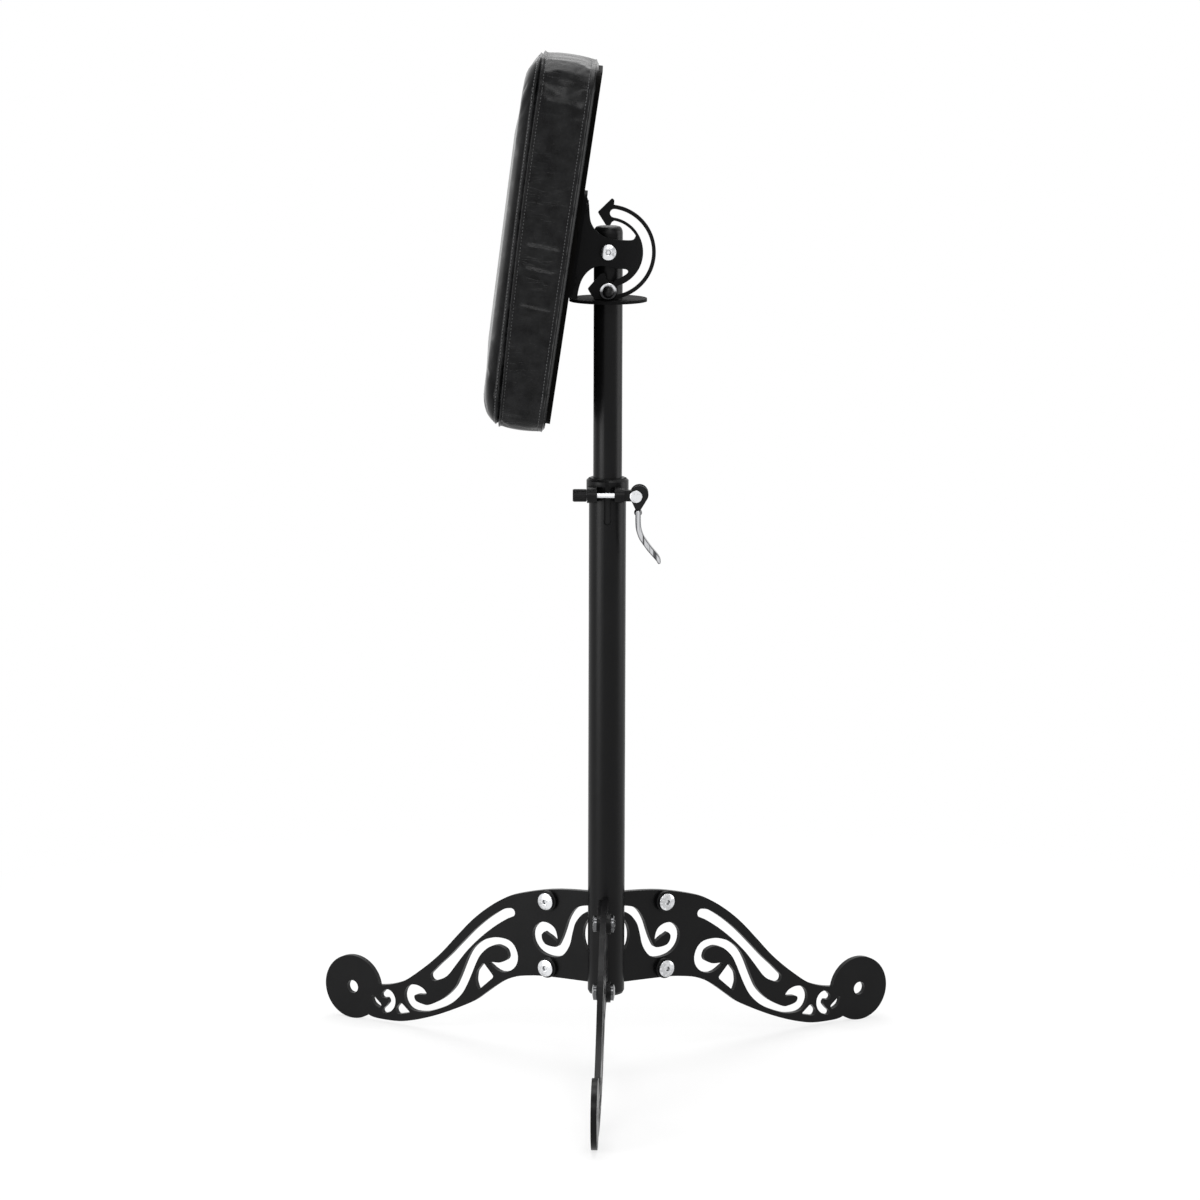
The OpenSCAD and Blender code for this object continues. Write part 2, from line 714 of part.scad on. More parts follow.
// Everything on the pivot's side of the carrier plate
module before_carrier() {
    rotate(-pad_lean)
        translate([carrier_t - pad_offset, -3 * rim_r])
            square([6 * rim_r, 6 * rim_r]);
}
module half_ring(r0, r1) {
    difference() {
        circle(r = r1);
        circle(r = r0);
        translate([-2 * r1, -2 * r1])
            square([2 * r1, 4 * r1]);
    }
}
slot_start_turn = -90.5;
slot_steps = 57;
module arc_slot() {
    polygon(ribbon([for (k = [0:slot_steps])
        let (a = slot_start_turn + (arc_end_turn - slot_start_turn) * k / slot_steps)
        [slot_r * cos(a), slot_r * sin(a), slot_w]], 1));
}
web_core_share = 0.7;
// The web meets the arc between these turns
web_arc_turns = [30, -80];
web_arc_steps = 10;
arrow_soft = 1.1;
module tilt_web() {
    intersection() {
        polygon(concat(curve(scaled(web_top_shares, head_scale), curve_steps),
            [for (k = [0:web_arc_steps])
                let (a = web_arc_turns[0] + (web_arc_turns[1] - web_arc_turns[0]) * k / web_arc_steps)
                [rim_r * web_core_share * cos(a), rim_r * web_core_share * sin(a)]],
            curve(scaled(web_low_shares, head_scale), curve_steps),
            [[-rim_r, rim_r * web_low_shares[len(web_low_shares) - 1][1]],
            [-rim_r, rim_r * web_top_shares[0][1]]]));
        before_carrier();
    }
}
module tilt_plate() {
    color(powder_black)
    at_pivot()
        difference() {
            union() {
                upright(tilt_t, -plate_mid)
                    half_ring(arc_inner_share * rim_r, rim_r);
                upright(tilt_t, -plate_mid)
                    tilt_web();
                for (p = [arrow_top_shares, arrow_low_shares])
                    upright(tilt_t, -plate_mid)
                        polygon(soft_corners(scaled(p, head_scale), arrow_soft));
            }
            upright(tilt_t + 2 * cut, -plate_mid)
                arc_slot();
            bar_y(pivot_d + 2 * run_gap, -front_face - cut, 0);
        }
}
module tilt_cheek() {
    color(powder_black)
    at_pivot()
        difference() {
            union() {
                bar_y(2 * cheek_eye_share * rim_r, plate_mid - tilt_t / 2, plate_mid + tilt_t / 2);
                upright(tilt_t, plate_mid)
                    intersection() {
                        polygon(scaled(cheek_shares, head_scale));
                        before_carrier();
                    }
            }
            bar_y(pivot_d + 2 * run_gap, 0, front_face + cut);
        }
}
pivot_head_d = 16;
pivot_head_h = 5;
pivot_socket = 5;
pivot_nut_d = 14;
pivot_nut_h = 7;
pivot_bolt_reach = 5;
module pivot_bolt() {
    color(bright_chrome)
    at_pivot()
        difference() {
            union() {
                dome_head(pivot_head_d, pivot_head_h, -front_face);
                bar_y(pivot_d, -front_face - eps, front_face + pivot_bolt_reach);
            }
            hex_socket(pivot_socket, -front_face - pivot_head_h);
        }
}
module pivot_nut() {
    color(bright_chrome)
    at_pivot()
        difference() {
            mirror([0, 1, 0])
                dome_head(pivot_nut_d, pivot_nut_h, -front_face);
            bar_y(pivot_d + 2 * run_gap, 0, front_face + pivot_bolt_reach + run_gap);
        }
}

// Things that lean with the pad: x is minus the distance from the pivot, z runs along the pad
module leaning() {
    at_pivot()
        rotate([0, pad_lean, 0])
            children();
}
// A plate that faces the pad, between two distances from the pivot
module facing(x0, x1) {
    translate([-x1, 0, 0])
        rotate([90, 0, 90])
            linear_extrude(x1 - x0)
                children();
}
function round_box(w, l, r) = [for (k = [0:3], j = [0:box_steps])
    let (a = 90 * (k + j / box_steps), sx = k == 0 || k == 3 ? 1 : -1, sy = k < 2 ? 1 : -1)
    [sx * (w / 2 - r) + r * cos(a), sy * (l / 2 - r) + r * sin(a)]];
box_steps = 7;
screw_side = 27;
screw_d = 4.4;
screw_head_d = 9;
screw_top_d = 6.4;
screw_head_h = 2.6;
screw_l = 11;
screw_up = 42;
screw_down = 34;
module at_screws() {
    for (sy = [-1, 1], z = [screw_up, -screw_down])
        translate([0, sy * screw_side, z])
            children();
}
module carrier_plate() {
    color(powder_black)
    leaning()
        difference() {
            facing(pad_offset - carrier_t, pad_offset)
                translate([0, (carrier_up - carrier_down) / 2])
                    polygon(round_box(carrier_w, carrier_up + carrier_down, carrier_corner));
            at_screws()
                bar_x(screw_d + 2 * run_gap, -pad_offset - cut, cut - pad_offset);
        }
}
module carrier_screws() {
    color(bright_chrome)
    leaning()
        at_screws() {
            bar_x(screw_d, carrier_t - pad_offset - eps - screw_l, carrier_t - pad_offset);
            translate([carrier_t - pad_offset, 0, 0])
                rotate([0, 90, 0])
                    cylinder(d1 = screw_head_d, d2 = screw_top_d, h = screw_head_h);
        }
}

// Pad: board in a pocket of the cushion, and the cushion with its crown
pad_shift = 2.4;
pad_corner = 26;
board_show = 4.5;
pocket_inset = 6;
pocket_gap = 0.3;
module pad_board() {
    d = pocket_inset + pocket_gap;
    color(ply_brown)
    leaning()
        difference() {
            facing(pad_offset, pad_offset + board_t)
                translate([0, pad_shift])
                    polygon(round_box(pad_width - 2 * d, pad_length - 2 * d, pad_corner - d));
            at_screws()
                bar_x(screw_d + 2 * run_gap, carrier_t - pad_offset - screw_l - run_gap, cut);
        }
}
// Across the crown: inset as a share of the half width, rise as a share of the crown
crown_shares = [[0, 0], [0.02, 0.1], [0.055, 0.22], [0.1, 0.35], [0.16, 0.49], [0.235, 0.63], [0.32, 0.75],
    [0.43, 0.855], [0.56, 0.93], [0.72, 0.98], [0.88, 1]];
// Up the band: inset as a share of the draw, height as a share of the band
band_draw = 2.2;
band_shares = [[0.5, 0.15], [0.87, 0.32], [1, 0.5], [0.87, 0.68], [0.5, 0.85]];
back_soft = 1.5;
pocket_floor = board_t - board_show + pocket_gap;
inner_corner_share = 0.35;
// Rings from the pocket's floor over the back edge, up the band and across the crown: inset, height
cushion_rings = concat([[pocket_inset, pocket_floor], [pocket_inset, 0], [back_soft, 0], [0, back_soft]],
    [for (p = band_shares) [band_draw * p[0], pad_band * p[1]]],
    [for (p = crown_shares) [p[0] * pad_width / 2, pad_band + pad_crown * p[1]]]);
// The pad is thicker at its top than at its foot by this share
pad_taper = 0.19;
function ring_points(d, h) = [for (p = round_box(pad_width - 2 * d, pad_length - 2 * d,
    max(pad_corner - d, pad_corner * inner_corner_share)))
    [-h - max(0, h - pocket_floor) * pad_taper * p[1] / pad_length, p[0], p[1]]];
module cushion_form() {
    n = 4 * (box_steps + 1);
    m = len(cushion_rings);
    points = [for (q = cushion_rings) each ring_points(q[0], q[1])];
    walls = [for (i = [0:m - 2], j = [0:n - 1]) let (a = i * n + j, b = i * n + (j + 1) % n)
        each [[a, a + n, b], [b, a + n, b + n]]];
    polyhedron(points = points, convexity = 6,
        faces = concat([[for (j = [0:n - 1]) j]], walls, [[for (j = [n - 1:-1:0]) (m - 1) * n + j]]));
}
module pad_cushion() {
    color(pad_black)
    leaning()
        translate([-pad_offset - board_show, 0, pad_shift])
            cushion_form();
}

outer_tube();
tube_plug();
leg_front();
leg_left();
leg_right();
leg_lugs_upper();
leg_lugs_lower();
leg_bolts();
leg_collars();
leg_nuts();
clamp_collar();
clamp_skewer();
clamp_washer();
clamp_saddle();
clamp_pin();
clamp_nut();
clamp_cam();
clamp_lever();
tube_bushing();
inner_tube();
guide_ring();
mast_cap();
stop_disc();
pivot_sleeve();
pivot_spacers();
lock_stud();
lock_spacer();
lock_flange();
lock_knob();
pivot_bolt();
pivot_nut();
tilt_plate();
tilt_cheek();
carrier_plate();
carrier_screws();
pad_board();
pad_cushion();
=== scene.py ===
import math
import random

import bpy
import numpy as np
from mathutils import Matrix, Vector


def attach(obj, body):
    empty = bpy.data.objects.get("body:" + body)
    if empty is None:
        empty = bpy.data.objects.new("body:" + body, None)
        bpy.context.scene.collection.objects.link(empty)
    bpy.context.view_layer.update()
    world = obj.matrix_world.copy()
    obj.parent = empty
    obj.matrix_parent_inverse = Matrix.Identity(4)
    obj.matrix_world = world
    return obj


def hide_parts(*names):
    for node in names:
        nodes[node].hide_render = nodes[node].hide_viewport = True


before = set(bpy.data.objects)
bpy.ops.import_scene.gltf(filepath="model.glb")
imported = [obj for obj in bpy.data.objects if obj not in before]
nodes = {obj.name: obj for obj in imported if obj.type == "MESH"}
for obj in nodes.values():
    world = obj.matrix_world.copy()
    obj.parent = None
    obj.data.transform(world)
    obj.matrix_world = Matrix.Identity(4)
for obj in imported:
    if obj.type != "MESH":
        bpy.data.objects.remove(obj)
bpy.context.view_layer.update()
mmInMetre = 1000
random.seed(41)
print("frame loaded:", len(nodes), "nodes")


class Tap:  # one output of a shader node, so that sums on it add Math nodes
    def __init__(self, sheet, socket):
        self.sheet = sheet
        self.socket = socket

    def sum(self, operation, first, second):
        return self.sheet.add("Math", {"operation": operation}, {0: first, 1: second})

    def __add__(self, other):
        return self.sum("ADD", self, other)

    def __radd__(self, other):
        return self.sum("ADD", other, self)

    def __sub__(self, other):
        return self.sum("SUBTRACT", self, other)

    def __rsub__(self, other):
        return self.sum("SUBTRACT", other, self)

    def __mul__(self, other):
        return self.sum("MULTIPLY", self, other)

    def __rmul__(self, other):
        return self.sum("MULTIPLY", other, self)

    def __truediv__(self, other):
        return self.sum("DIVIDE", self, other)

    def above(self, other):
        return self.sum("MAXIMUM", self, other)

    def below(self, other):
        return self.sum("MINIMUM", self, other)

    def clamped(self):
        return self.above(0.0).below(1.0)


class NodeSheet:  # the nodes of one material or world
    def __init__(self, tree):
        self.tree = tree
        tree.nodes.clear()

    def add(self, kind, settings=None, sockets=None, out=0):
        node = self.tree.nodes.new("ShaderNode" + kind)
        for key, value in (settings or {}).items():
            if key == "stops":
                ramp = node.color_ramp.elements
                while len(ramp) < len(value):
                    ramp.new(0.5)
                for stop, (place, grey) in zip(ramp, value):
                    stop.position = place
                    stop.color = (grey, grey, grey, 1)
            else:
                setattr(node, key, value)
        for key, value in (sockets or {}).items():
            if isinstance(value, Tap):
                self.tree.links.new(value.socket, node.inputs[key])
            elif value is not None:
                node.inputs[key].default_value = value
        return Tap(self, node.outputs[out])

    def place(self, stretch=(1, 1, 1), turn=(0, 0, 0)):
        here = self.add("TexCoord", out=3)
        return self.add("Mapping", {}, {0: here, "Rotation": turn, "Scale": stretch})

    def axis(self, number):
        return self.add("SeparateXYZ", {}, {0: self.place()}, out=number)

    def noise(self, scale, detail, rough, where=None):
        spot = where or self.place()
        return self.add("TexNoise", {}, {
            "Vector": spot, "Scale": scale, "Detail": detail, "Roughness": rough})

    def ramp(self, value, stops):
        return self.add("ValToRGB", {"stops": stops}, {0: value})

    def rise(self, value, start, end):
        return self.ramp(value, [(start, 0.0), (end, 1.0)])

    def tones(self, factor, dark, light):
        ends = [end if isinstance(end, Tap) else (*end, 1) for end in (dark, light)]
        return self.add("Mix", {"data_type": "RGBA"}, {0: factor, 6: ends[0], 7: ends[1]}, out=2)

    def rounded(self, radius, samples):
        return self.add("Bevel", {"samples": samples}, {"Radius": radius})

    def bump(self, height, depth, strength, normal=None):
        return self.add("Bump", {}, {
            "Height": height, "Distance": depth, "Strength": strength, "Normal": normal})

    def raysSeen(self):  # 1 where the camera, a mirror or a glass looks, 0 for the light on a surface
        camera, mirror, glass = [self.add("LightPath", out=name) for name in
                                 ("Is Camera Ray", "Is Glossy Ray", "Is Transmission Ray")]
        return camera.above(mirror).above(glass)

    def surface(self, colour, roughness, normal, level=None, metallic=None):
        self.finish(self.add("BsdfPrincipled", {}, {
            "Base Color": colour, "Metallic": metallic, "Roughness": roughness, "Normal": normal,
            "Specular IOR Level": level}))

    def finish(self, shader, kind="OutputMaterial"):
        end = self.tree.nodes.new("ShaderNode" + kind)
        self.tree.links.new(shader.socket, end.inputs[0])


def newFinish(name):
    material = bpy.data.materials.new(name)
    material.use_nodes = True
    return material, NodeSheet(material.node_tree)


# In the finishes a noise is given by its scale, detail and roughness, a bump by its depth and strength

# Satin black powder coat on the steel plates and tubes, matt where the photograph shows hardly any shine
powder = dict(dark=(0.0022, 0.0022, 0.0024), light=(0.0052, 0.0052, 0.0055), level=0.13,
              gloss=0.27, glossSpread=0.07, speckGloss=0.06, edge=0.00025, edgeSamples=8,
              cloud=(26, 4, 0.6), cloudShare=0.6, rubbed=(0.35, 0.7), speck=(1600, 2, 0.6), speckShare=0.4,
              peel=(900, 3, 0.55), peelBump=(0.00003, 0.6))
matt = dict(powder, gloss=0.58, level=0.05)
# The tilt plates' copy has a lighter base colour, a painted sheen standing in for the shine that its low
# level takes off
plate = dict(powder, dark=(0.0070, 0.0070, 0.0073), light=(0.0115, 0.0115, 0.0120), gloss=0.48, level=0.05)


def powderCoat(name, settings):
    material, sheet = newFinish(name)
    cloud = sheet.noise(*settings["cloud"])
    speck = sheet.noise(*settings["speck"])
    rounded = sheet.rounded(settings["edge"], settings["edgeSamples"])
    peel = sheet.bump(sheet.noise(*settings["peel"]), *settings["peelBump"], rounded)
    rub = sheet.rise(cloud, *settings["rubbed"])
    mixed = cloud * settings["cloudShare"] + speck * settings["speckShare"]
    sheet.surface(
        sheet.tones(mixed, settings["dark"], settings["light"]),
        settings["gloss"] + rub * settings["glossSpread"] + speck * settings["speckGloss"],
        peel, settings["level"])
    return material


# Chrome on the bolts, the skewer and the pins: painted reflection in bands, with painted speckles, hazed in
# patches and with painted shade in corners. The lever's has painted reflection streaks along its length; the
# bolts by the column and the flange by the knob get painted shade on part of them
chrome = dict(dark=(0.10, 0.10, 0.105), middle=(0.42, 0.425, 0.435), light=(0.80, 0.81, 0.83),
              gloss=0.09, hazeAndPaintedSpeckleGloss=0.12, edge=0.0009, edgeSamples=8, hazeAndPaintedSpeckle=(380, 4, 0.6), speckle=0.75,
              cornerReach=0.0022, cornerSamples=8, cornerOpen=(0.35, 0.8), grain=(2600, 2, 0.6),
              brush=(1, 4, 0.6), brushPlace=((900, 900, 5200), (0.3, 0.5, 0)), brushShare=0.6,
              grainBump=(0.00001, 0.5), paintedReflectionAxis=(0.80, 0.05, 0.60),
              bands=[(0.08, 0.0), (0.26, 0.9), (0.44, 1.0), (0.52, 0.85), (0.60, 0.05), (0.72, 0.45),
                     (0.92, 1.0)])
castChrome = dict(chrome, dark=(0.02, 0.02, 0.022), middle=(0.04, 0.041, 0.043), light=(0.62, 0.625, 0.64),
                  gloss=0.16, cornerReach=0.003, edge=0.0024, speckle=0.2,
                  reflectionStreak=(1, 2, 0.5), reflectionStreakPlace=(300, 300, 14), reflectionStreakStops=[(0.40, 0.10), (0.50, 1.0)],
                  bands=[(0.20, 0.0), (0.36, 0.45), (0.46, 1.0), (0.55, 0.9), (0.66, 0.25), (0.82, 0.0),
                         (0.95, 0.5)])
# Copies with painted shade: the leg bolts go dark near the column's middle, the flange below a height
legChrome = dict(chrome, dark=(0.02, 0.02, 0.021), paintedShadeWithin=0.024, paintedShadeFade=0.006, paintedShadeDepth=0.85)
flangeChrome = dict(chrome, dark=(0.012, 0.012, 0.013), paintedShadeBelow=0.8058, paintedShadeFade=0.004, paintedShadeDepth=0.97)


def brightChrome(name, settings):
    material, sheet = newFinish(name)
    hazeAndPaintedSpeckle = sheet.noise(*settings["hazeAndPaintedSpeckle"])
    brushed = sheet.noise(*settings["brush"], sheet.place(*settings["brushPlace"]))
    rounded = sheet.rounded(settings["edge"], settings["edgeSamples"])
    relief = sheet.noise(*settings["grain"]) + brushed * settings["brushShare"]
    skin = sheet.bump(relief, *settings["grainBump"], rounded)
    # Painted reflection: the base colour is lighter or darker in bands by the way the surface faces, with
    # painted speckles from the haze noise
    slant = sheet.add("VectorMath", {"operation": "DOT_PRODUCT"}, {
        0: rounded, 1: settings["paintedReflectionAxis"]}, out=1)
    paintedSheen = sheet.ramp(slant * 0.5 + 0.5 + (hazeAndPaintedSpeckle - 0.5) * settings["speckle"], settings["bands"])
    # Painted reflection streaks darken the lever's base colour along its length
    if "reflectionStreak" in settings:
        reflectionStreak = sheet.noise(*settings["reflectionStreak"], sheet.place(settings["reflectionStreakPlace"]))
        paintedSheen = paintedSheen * sheet.ramp(reflectionStreak, settings["reflectionStreakStops"])
    # Painted shade: the base colour goes dark in corners and hollows, where the occlusion is high
    openness = sheet.add("AmbientOcclusion", {"samples": settings["cornerSamples"]}, {
        "Distance": settings["cornerReach"]}, out=1)
    tone = sheet.tones(paintedSheen, settings["middle"], settings["light"])
    shown = sheet.rise(openness, *settings["cornerOpen"])
    past = None
    # Painted shade: the colour goes dark within a distance of the middle, or below a height
    if "paintedShadeWithin" in settings:
        past = sheet.add("Math", {"operation": "ABSOLUTE"}, {0: sheet.axis(0)}) - settings["paintedShadeWithin"]
    if "paintedShadeBelow" in settings:
        past = sheet.axis(2) - settings["paintedShadeBelow"]
    if past:
        shown = shown * (1 - settings["paintedShadeDepth"] * (1 - (past / settings["paintedShadeFade"]).clamped()))
    sheet.surface(
        sheet.tones(shown, settings["dark"], tone),
        settings["gloss"] + hazeAndPaintedSpeckle * settings["hazeAndPaintedSpeckleGloss"],
        skin, metallic=1.0)
    return material


# Moulded black nylon of the bushing, cap, ball knob, ribbed nut and collars under the bolts
nylon = dict(dark=(0.0030, 0.0030, 0.0032), light=(0.0068, 0.0068, 0.0072), gloss=0.32, glossSpread=0.14,
             level=0.16, flow=(60, 4, 0.55), grain=(3200, 2, 0.5), grainBump=(0.00002, 0.5),
             edge=0.0005, edgeSamples=4)


def mouldedNylon(name, settings):
    material, sheet = newFinish(name)
    flow = sheet.noise(*settings["flow"])
    grain = sheet.noise(*settings["grain"])
    rounded = sheet.rounded(settings["edge"], settings["edgeSamples"])
    skin = sheet.bump(grain, *settings["grainBump"], rounded)
    sheet.surface(
        sheet.tones(flow, settings["dark"], settings["light"]),
        settings["gloss"] + flow * settings["glossSpread"],
        skin, settings["level"])
    return material


# Plywood back board under black stain
board = dict(dark=(0.0006, 0.0006, 0.0005), light=(0.0030, 0.0027, 0.0025), gloss=0.6, level=0.03,
             fibre=(1, 6, 0.62), fibrePlace=(700, 700, 24), pore=(1, 3, 0.6), porePlace=(1500, 1500, 90),
             poreEdge=(0.52, 0.6), poreSink=0.5, poreDark=0.6, poreGloss=0.2, reliefBump=(0.00015, 0.6),
             edge=0.0007, edgeSamples=4)


def stainedBoard(name, settings):
    material, sheet = newFinish(name)
    fibre = sheet.noise(*settings["fibre"], sheet.place(settings["fibrePlace"]))
    grain = sheet.noise(*settings["pore"], sheet.place(settings["porePlace"]))
    pores = sheet.rise(grain, *settings["poreEdge"])
    sunk = fibre - pores * settings["poreSink"]
    rounded = sheet.rounded(settings["edge"], settings["edgeSamples"])
    relief = sheet.bump(sunk, *settings["reliefBump"], rounded)
    sheet.surface(
        sheet.tones(fibre * (1 - pores * settings["poreDark"]), settings["dark"], settings["light"]),
        settings["gloss"] + pores * settings["poreGloss"],
        relief, settings["level"])
    return material


# Black cover leather: mottled and finely grained, with creases and a few scratches; smoother on the crown,
# where it is stretched
cover = dict(dark=(0.0018, 0.0018, 0.0020), light=(0.0105, 0.0106, 0.0110), gloss=0.20, glossSpread=0.08,
             level=0.13, cloud=(75, 6, 0.65), mottled=(0.36, 0.64), mottleTone=0.85,
             grainScale=820, grainEdge=0.32, grainTone=0.15, grainBump=(0.00008, 0.45),
             crease=(1, 4, 0.55), creasePlace=((34, 34, 150), (0.35, 0, 0)), creaseBump=(0.00030, 0.5),
             creaseStops=[(0.44, 0.0), (0.5, 1.0), (0.56, 0.0)], creaseGloss=0.05,
             patch=(9, 2, 0.5), patchEdge=(0.42, 0.62),
             scratch=(1, 2, 0.5), scratchPlace=((900, 60, 900), (0.9, 0.2, 0.3)), scratchEdge=(0.70, 0.74),
             scratched=(0.45, 0.65), scratchTone=0.5, scratchSink=0.5,
             swell=(1, 3, 0.5), swellPlace=(22, 22, 60), swellBump=(0.0009, 0.2))
stretched = dict(cover, light=(0.0065, 0.0066, 0.0069), gloss=0.15, glossSpread=0.05, level=0.08,
                 grainBump=(0.00002, 0.45), creaseBump=(0.00005, 0.5))


def coverLeather(name, settings):
    material, sheet = newFinish(name)
    cloud = sheet.noise(*settings["cloud"])
    patch = sheet.noise(*settings["patch"])
    mottle = sheet.rise(cloud, *settings["mottled"])
    cells = sheet.add("TexVoronoi", {"feature": "DISTANCE_TO_EDGE"},
                      {"Vector": sheet.place(), "Scale": settings["grainScale"]})
    grain = sheet.rise(cells, 0.0, settings["grainEdge"])
    creases = sheet.noise(*settings["crease"], sheet.place(*settings["creasePlace"]))
    lines = sheet.ramp(creases, settings["creaseStops"])
    fold = lines * sheet.rise(patch, *settings["patchEdge"])
    hair = sheet.noise(*settings["scratch"], sheet.place(*settings["scratchPlace"]))
    scratch = sheet.rise(hair, *settings["scratchEdge"]) * sheet.rise(cloud, *settings["scratched"])
    swell = sheet.noise(*settings["swell"], sheet.place(settings["swellPlace"]))
    swollen = sheet.bump(swell, *settings["swellBump"])
    creased = sheet.bump(fold, *settings["creaseBump"], swollen)
    skin = sheet.bump(grain - scratch * settings["scratchSink"], *settings["grainBump"], creased)
    mixed = (mottle * settings["mottleTone"] + scratch * settings["scratchTone"]
             + grain * settings["grainTone"])
    sheet.surface(
        sheet.tones(mixed.below(1.0), settings["dark"], settings["light"]),
        settings["gloss"] + mottle * settings["glossSpread"] - fold * settings["creaseGloss"],
        skin, settings["level"])
    return material


# Bonded black thread
thread = dict(dark=(0.025, 0.025, 0.026), light=(0.085, 0.085, 0.088), gloss=0.4,
              twistScale=900.0, twistWander=1.5, twistBump=(0.00008, 0.6))


def bondedThread(name, settings):
    material, sheet = newFinish(name)
    twist = sheet.add("TexWave", {"bands_direction": "DIAGONAL"}, {
        "Vector": sheet.place(), "Scale": settings["twistScale"], "Distortion": settings["twistWander"]})
    sheet.surface(sheet.tones(twist, settings["dark"], settings["light"]), settings["gloss"],
                  sheet.bump(twist, *settings["twistBump"]))
    return material


finishes = dict(
    powder=powderCoat("powderCoat", powder), matt=powderCoat("mattCoat", matt),
    plate=powderCoat("plateCoatPaintedSheen", plate), chrome=brightChrome("brightChrome", chrome),
    lever=brightChrome("castChrome", castChrome), legChrome=brightChrome("legChrome", legChrome),
    flange=brightChrome("flangeChrome", flangeChrome), nylon=mouldedNylon("mouldedNylon", nylon),
    board=stainedBoard("stainedBoard", board), cover=coverLeather("coverLeather", cover),
    crown=coverLeather("stretchedLeather", stretched), thread=bondedThread("bondedThread", thread))
wearing = dict(
    powder=["outer_tube", "leg_front", "leg_left", "leg_right", "leg_lugs_upper", "leg_lugs_lower",
            "clamp_collar", "inner_tube", "clamp_washer"],
    matt=["carrier_plate", "carrier_screws", "stop_disc"],
    plate=["tilt_plate", "tilt_cheek"],
    chrome=["clamp_skewer", "clamp_pin", "pivot_sleeve", "lock_stud", "pivot_bolt", "pivot_nut"],
    legChrome=["leg_bolts", "leg_nuts"],
    flange=["lock_flange"],
    nylon=["tube_plug", "leg_collars", "clamp_saddle", "clamp_nut", "clamp_cam", "tube_bushing",
           "guide_ring", "mast_cap", "pivot_spacers", "lock_spacer", "lock_knob"],
    lever=["clamp_lever"],
    board=["pad_board"])
for finish, names in wearing.items():
    for name in names:
        mesh = nodes[name].data
        mesh.materials.clear()
        mesh.materials.append(finishes[finish])
print("finishes put on", sum(len(names) for names in wearing.values()), "nodes")


# The pad's cover, in metres, is drawn as rings round the pad, from the pocket for the board to the middle of
# the crown. A ring's height is how far it stands off the pad's back, its inset how far it lies in from the
# outline; three numbers are a bow along the pad's length
pad = dict(pivotHeight=0.8461, lean=8.4, halfWidth=0.090, halfLength=0.18575, shift=0.0001, corner=0.036,
           boardCorner=0.0202, rim=0.006, pocket=0.0078, backAt=0.0373, foot=0.0015, band=0.054, bandSteps=12,
           taper=0.19, bow=(0.00135, 0.004, -0.0987), leastBow=(-0.0022, 0.0018), drawIn=0.0016,
           endBulge=0.0016, endFrom=0.7, swell=(0.0156, -0.009, 0.095), lateFrom=0.5, step=0.0042,
           shoulder=dict(side=14.0, top=9.5, bottom=11.0),
           shoulderPart=dict(side=0.82, top=0.80, bottom=0.86),
           crownShares=[0.012, 0.03, 0.055, 0.085, 0.12, 0.165, 0.22, 0.29, 0.37, 0.46, 0.55, 0.64, 0.73,
                        0.82, 0.90])
padPlace = (Matrix.Translation((0, 0, pad["pivotHeight"]))
            @ Matrix.Rotation(math.radians(pad["lean"]), 4, "Y"))
tallSteps = round(2 * (pad["halfLength"] - pad["corner"]) / pad["step"])
wideSteps = round(2 * (pad["halfWidth"] - pad["corner"]) / pad["step"])
cornerSteps = round(pad["corner"] * math.pi / 2 / pad["step"]) + 1


def padOutline(a, b, r):  # a rectangle of half sides a and b with corner radius r, and where its sides face
    points, outward = [], []

    def straight(start, end, side, steps):
        for k in range(steps):
            points.append(np.array(start) + (np.array(end) - np.array(start)) * k / steps)
            outward.append(side)

    def around(middle, fromTurn):
        for k in range(cornerSteps):
            turn = math.radians(fromTurn + 90 * k / cornerSteps)
            points.append(np.array(middle) + r * np.array((math.cos(turn), math.sin(turn))))
            outward.append((math.cos(turn), math.sin(turn)))

    straight((a, r - b), (a, b - r), (1, 0), tallSteps)
    around((a - r, b - r), 0)
    straight((a - r, b), (r - a, b), (0, 1), wideSteps)
    around((r - a, b - r), 90)
    straight((-a, b - r), (-a, r - b), (-1, 0), tallSteps)
    around((r - a, r - b), 180)
    straight((r - a, -b), (a - r, -b), (0, -1), wideSteps)
    around((a - r, r - b), 270)
    return np.array(points), np.array(outward, dtype=float)


rim, facing = padOutline(pad["halfWidth"], pad["halfLength"], pad["corner"])
pocketRim, _ = padOutline(pad["halfWidth"] - pad["rim"], pad["halfLength"] - pad["rim"], pad["boardCorner"])
spineReach = pad["halfLength"] - pad["halfWidth"]
spine = np.column_stack([np.zeros(len(rim)), np.clip(rim[:, 1], -spineReach, spineReach)])


def curve(three, up):
    return three[0] + three[1] * up + three[2] * up ** 2


def fuller(height, up):  # the pad is thicker at its top than at its foot, and its seam bows
    more = np.maximum(height - pad["pocket"], 0) * pad["taper"] * up / (2 * pad["halfLength"])
    least = pad["leastBow"][0] + pad["leastBow"][1] * (up > 0)
    return height + more + np.maximum(curve(pad["bow"], up), least) * height / pad["band"]


def standing(flat, height, rise=0):  # a flat ring put at its height in the pad's own frame
    return np.column_stack([-pad["backAt"] - fuller(height, flat[:, 1]) - rise, flat[:, 0],
                            flat[:, 1] + pad["shift"]])


def bandRing(inset, height, outline=rim):
    return standing(outline - facing * inset, height)


